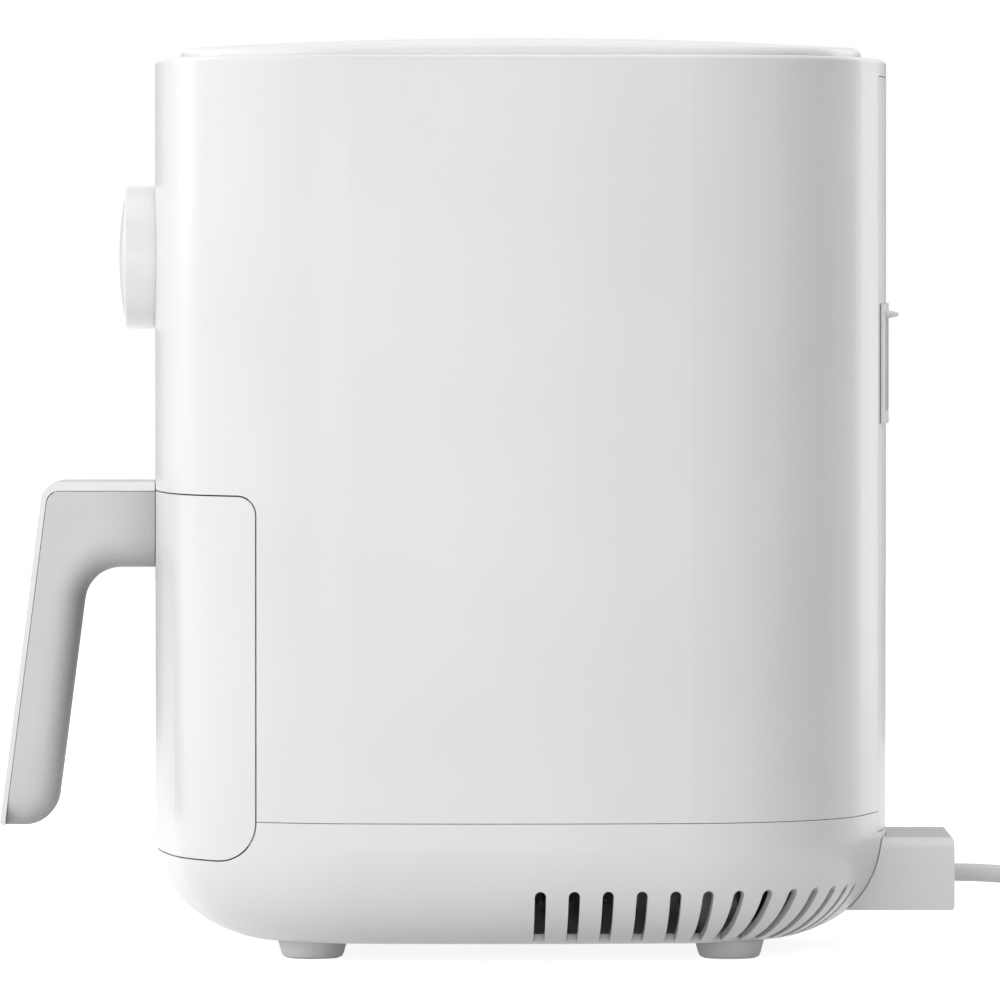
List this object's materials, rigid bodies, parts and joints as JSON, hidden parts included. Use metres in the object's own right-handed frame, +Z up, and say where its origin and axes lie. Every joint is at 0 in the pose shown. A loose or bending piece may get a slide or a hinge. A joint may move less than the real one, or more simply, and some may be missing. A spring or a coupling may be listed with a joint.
{
  "type": "drawer hot-air fryer",
  "caption": "Upright rounded hot-air fryer with a pull-out drawer and handle, crisper tray, front control knob, rear exhaust grille, base air slots and mains cord.",
  "frame": {"origin": "on the floor under the middle of the object's box, cord left out", "axes": "+Z up, -Y is the front with drawer and knob, +X is the side the picture shows"},
  "size_m": [0.252, 0.5508, 0.3075],
  "materials": {
    "white_shell": "satin white moulding",
    "white_trim": "satin white moulding",
    "grey_grip": "fine matt light grey",
    "foot_plastic": "light grey rubber",
    "cord_jacket": "light grey cord",
    "dark_nonstick": "dark non-stick coating",
    "silicone": "matt silicone",
    "sheet_steel": "plain sheet",
    "heater_steel": "dark oxidised tube",
    "aluminium_fan": "plain sheet",
    "screw_steel": "zinc plated",
    "circuit_board": "green lacquer",
    "dark_plastic": "fine matt",
    "pin_brass": "nickel plated"
  },
  "bodies": {
    "body": {"outer_housing": "white_shell", "top_cover": "white_trim", "base_cover": "white_shell", "base_screws": "screw_steel", "feet": "foot_plastic", "rear_panel": "white_shell", "exhaust_grille": "white_trim", "cord_box": "white_shell", "cord_box_screws": "screw_steel", "cord_grommet": "white_trim", "cord_clamp": "dark_plastic", "inner_lead": "cord_jacket", "terminal_block": "dark_plastic", "power_board": "circuit_board", "chamber_liner": "sheet_steel", "drawer_rails": "sheet_steel", "exhaust_duct": "sheet_steel", "heat_shield": "sheet_steel", "motor_bracket": "sheet_steel", "motor_body": "dark_plastic", "heater_guard": "sheet_steel", "heater_clips": "sheet_steel", "temperature_sensor": "screw_steel", "heating_element": "heater_steel", "encoder_body": "dark_plastic", "control_board": "circuit_board", "drawer_switch": "dark_plastic", "mains_cord": "cord_jacket", "cord_coil": "cord_jacket", "cord_tie": "dark_plastic", "plug_body": "cord_jacket", "plug_pins": "pin_brass"},
    "drawer": {"drawer_front": "white_shell", "drawer_plate": "sheet_steel", "plate_screws": "screw_steel", "handle_grip": "grey_grip", "handle_cover": "white_trim", "handle_screws": "screw_steel", "pan": "dark_nonstick", "pan_bracket": "sheet_steel", "pan_screws": "screw_steel"},
    "tray": {"crisper_tray": "dark_nonstick", "tray_bumpers": "silicone"},
    "rotor": {"motor_shaft": "screw_steel", "convection_fan": "aluminium_fan", "cooling_fan": "dark_plastic", "fan_nut": "screw_steel"},
    "knob": {"knob_body": "white_trim", "knob_cap": "white_trim", "encoder_shaft": "screw_steel"},
    "plunger": {"switch_plunger": "silicone"}
  },
  "joints": [
    {"name": "drawer_slide", "type": "slide", "parent": "body", "child": "drawer", "axis": [0, -1, 0], "range_m": [0, 0.26]},
    {"name": "tray_lift", "type": "slide", "parent": "drawer", "child": "tray", "axis": [0, 0, 1], "range_m": [0, 0.085]},
    {"name": "fan_spin", "type": "hinge", "parent": "body", "child": "rotor", "pos_m": [0, 0.0152, 0.22], "axis": [0, 0, 1], "continuous": true},
    {"name": "knob_turn", "type": "hinge", "parent": "body", "child": "knob", "pos_m": [0, -0.1088, 0.2334], "axis": [0, -1, 0], "continuous": true},
    {"name": "plunger_press", "type": "slide", "parent": "body", "child": "plunger", "axis": [0, 0, 1], "range_m": [0, 0.0008], "stiffness_N_per_m": 400}
  ]
}
